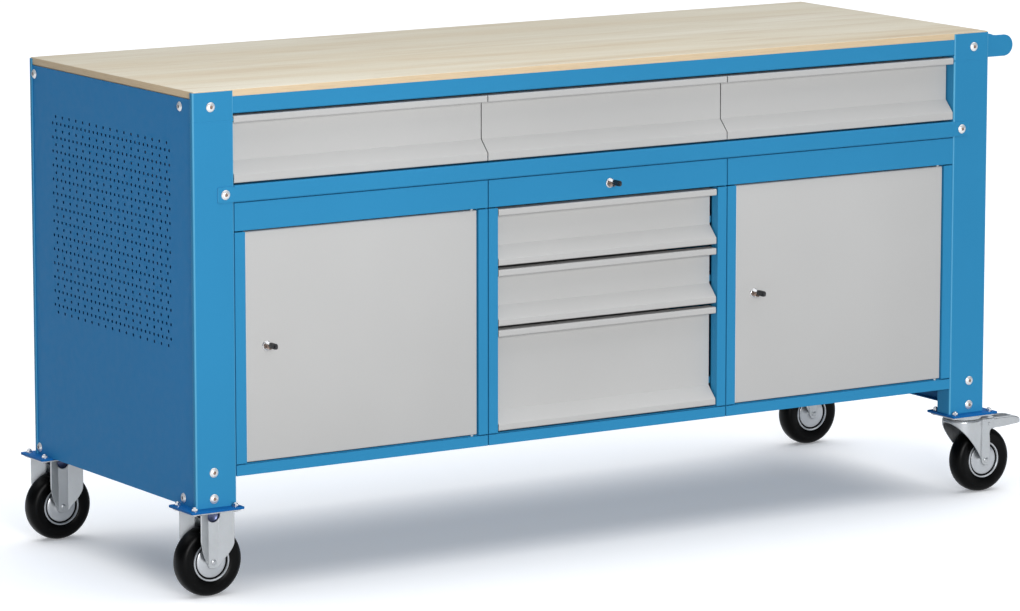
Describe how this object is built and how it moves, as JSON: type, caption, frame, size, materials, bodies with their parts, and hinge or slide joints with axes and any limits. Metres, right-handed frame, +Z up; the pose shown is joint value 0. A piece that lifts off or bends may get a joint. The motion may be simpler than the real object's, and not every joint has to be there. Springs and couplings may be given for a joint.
{
  "type": "mobile workbench",
  "caption": "Rolling steel workbench with a plywood top, wide drawers under it, lockable cupboards beside a drawer unit, fixed and braked swivel casters and a push handle.",
  "frame": {"origin": "on the floor, in the middle of the space that the whole bench takes up", "axes": "+X towards the end with the push handle, -Y towards the front with the drawers and doors, +Z up"},
  "size_m": [1.831, 0.6564, 0.88],
  "materials": {
    "blue_paint": "semi-gloss powder coat",
    "grey_paint": "semi-gloss powder coat",
    "plywood": "sealed beech plywood",
    "zinc": "zinc plated",
    "chrome": "polished",
    "rubber": "smooth black rubber"
  },
  "bodies": {
    "frame": {"worktop": "plywood", "left_side_panel": "blue_paint", "front_left_post": "blue_paint", "rear_left_post": "blue_paint", "right_side_panel": "blue_paint", "front_right_post": "blue_paint", "rear_right_post": "blue_paint", "front_top_rail": "blue_paint", "middle_rail": "blue_paint", "rear_apron": "blue_paint", "front_lower_rail": "blue_paint", "rear_lower_rail": "blue_paint", "left_slide_carrier": "zinc", "left_slide_divider": "zinc", "right_slide_carrier": "zinc", "right_slide_divider": "zinc", "left_cabinet": "blue_paint", "centre_cabinet": "blue_paint", "right_cabinet": "blue_paint", "left_shelf": "blue_paint", "right_shelf": "blue_paint", "push_handle": "blue_paint", "front_left_caster_fork": "zinc", "front_left_caster_axle": "zinc", "rear_left_caster_fork": "zinc", "rear_left_caster_axle": "zinc", "front_right_caster_plate": "zinc", "rear_right_caster_plate": "zinc"},
    "left_top_drawer": {"left_top_drawer_front": "grey_paint", "left_top_drawer_box": "grey_paint"},
    "centre_top_drawer": {"centre_top_drawer_front": "grey_paint", "centre_top_drawer_box": "grey_paint"},
    "right_top_drawer": {"right_top_drawer_front": "grey_paint", "right_top_drawer_box": "grey_paint"},
    "upper_unit_drawer": {"upper_unit_drawer_front": "grey_paint", "upper_unit_drawer_box": "grey_paint"},
    "middle_unit_drawer": {"middle_unit_drawer_front": "grey_paint", "middle_unit_drawer_box": "grey_paint"},
    "lower_unit_drawer": {"lower_unit_drawer_front": "grey_paint", "lower_unit_drawer_box": "grey_paint"},
    "left_door": {"left_door": "grey_paint"},
    "left_door_lock": {"left_door_lock": "chrome"},
    "right_door": {"right_door": "grey_paint"},
    "right_door_lock": {"right_door_lock": "chrome"},
    "drawer_unit_lock": {"drawer_unit_lock": "chrome"},
    "front_left_wheel": {"front_left_caster_tyre": "rubber", "front_left_caster_rim": "zinc"},
    "rear_left_wheel": {"rear_left_caster_tyre": "rubber", "rear_left_caster_rim": "zinc"},
    "front_right_swivel": {"front_right_caster_fork": "zinc", "front_right_caster_axle": "zinc"},
    "front_right_wheel": {"front_right_caster_tyre": "rubber", "front_right_caster_rim": "zinc"},
    "front_right_pedal": {"front_right_caster_brake_pedal": "zinc"},
    "rear_right_swivel": {"rear_right_caster_fork": "zinc", "rear_right_caster_axle": "zinc"},
    "rear_right_wheel": {"rear_right_caster_tyre": "rubber", "rear_right_caster_rim": "zinc"},
    "rear_right_pedal": {"rear_right_caster_brake_pedal": "zinc"}
  },
  "joints": [
    {"name": "left_top_drawer_slide", "type": "slide", "parent": "frame", "child": "left_top_drawer", "axis": [0, -1, 0], "range_m": [0, 0.4]},
    {"name": "centre_top_drawer_slide", "type": "slide", "parent": "frame", "child": "centre_top_drawer", "axis": [0, -1, 0], "range_m": [0, 0.4]},
    {"name": "right_top_drawer_slide", "type": "slide", "parent": "frame", "child": "right_top_drawer", "axis": [0, -1, 0], "range_m": [0, 0.4]},
    {"name": "upper_unit_drawer_slide", "type": "slide", "parent": "frame", "child": "upper_unit_drawer", "axis": [0, -1, 0], "range_m": [0, 0.4]},
    {"name": "middle_unit_drawer_slide", "type": "slide", "parent": "frame", "child": "middle_unit_drawer", "axis": [0, -1, 0], "range_m": [0, 0.4]},
    {"name": "lower_unit_drawer_slide", "type": "slide", "parent": "frame", "child": "lower_unit_drawer", "axis": [0, -1, 0], "range_m": [0, 0.4]},
    {"name": "left_door_hinge", "type": "hinge", "parent": "frame", "child": "left_door", "pos_m": [-0.32238, -0.28375, 0.431], "axis": [0, 0, 1], "range_deg": [0, 90]},
    {"name": "left_door_lock_turn", "type": "hinge", "parent": "left_door", "child": "left_door_lock", "pos_m": [-0.74287, -0.28875, 0.431], "axis": [0, 1, 0], "range_deg": [0, 90]},
    {"name": "right_door_hinge", "type": "hinge", "parent": "frame", "child": "right_door", "pos_m": [0.70388, -0.28375, 0.431], "axis": [0, 0, 1], "range_deg": [0, 90]},
    {"name": "right_door_lock_turn", "type": "hinge", "parent": "right_door", "child": "right_door_lock", "pos_m": [0.28337, -0.28875, 0.431], "axis": [0, 1, 0], "range_deg": [0, 90]},
    {"name": "drawer_unit_lock_turn", "type": "hinge", "parent": "frame", "child": "drawer_unit_lock", "pos_m": [-0.0355, -0.29175, 0.6595], "axis": [0, 1, 0], "range_deg": [0, 90]},
    {"name": "front_left_wheel_spin", "type": "hinge", "parent": "frame", "child": "front_left_wheel", "pos_m": [-0.853, -0.26925, 0.0625], "axis": [0, 1, 0], "continuous": true},
    {"name": "rear_left_wheel_spin", "type": "hinge", "parent": "frame", "child": "rear_left_wheel", "pos_m": [-0.853, 0.28575, 0.0625], "axis": [0, 1, 0], "continuous": true},
    {"name": "front_right_swivel_turn", "type": "hinge", "parent": "frame", "child": "front_right_swivel", "pos_m": [0.782, -0.26925, 0.14], "axis": [0, 0, 1], "continuous": true},
    {"name": "front_right_wheel_spin", "type": "hinge", "parent": "front_right_swivel", "child": "front_right_wheel", "pos_m": [0.822, -0.26925, 0.0625], "axis": [0, 1, 0], "continuous": true},
    {"name": "front_right_brake_press", "type": "hinge", "parent": "front_right_swivel", "child": "front_right_pedal", "pos_m": [0.829, -0.26925, 0.1315], "axis": [0, 1, 0], "range_deg": [0, 15]},
    {"name": "rear_right_swivel_turn", "type": "hinge", "parent": "frame", "child": "rear_right_swivel", "pos_m": [0.782, 0.28575, 0.14], "axis": [0, 0, 1], "continuous": true},
    {"name": "rear_right_wheel_spin", "type": "hinge", "parent": "rear_right_swivel", "child": "rear_right_wheel", "pos_m": [0.822, 0.28575, 0.0625], "axis": [0, 1, 0], "continuous": true},
    {"name": "rear_right_brake_press", "type": "hinge", "parent": "rear_right_swivel", "child": "rear_right_pedal", "pos_m": [0.829, 0.28575, 0.1315], "axis": [0, 1, 0], "range_deg": [0, 15]}
  ]
}
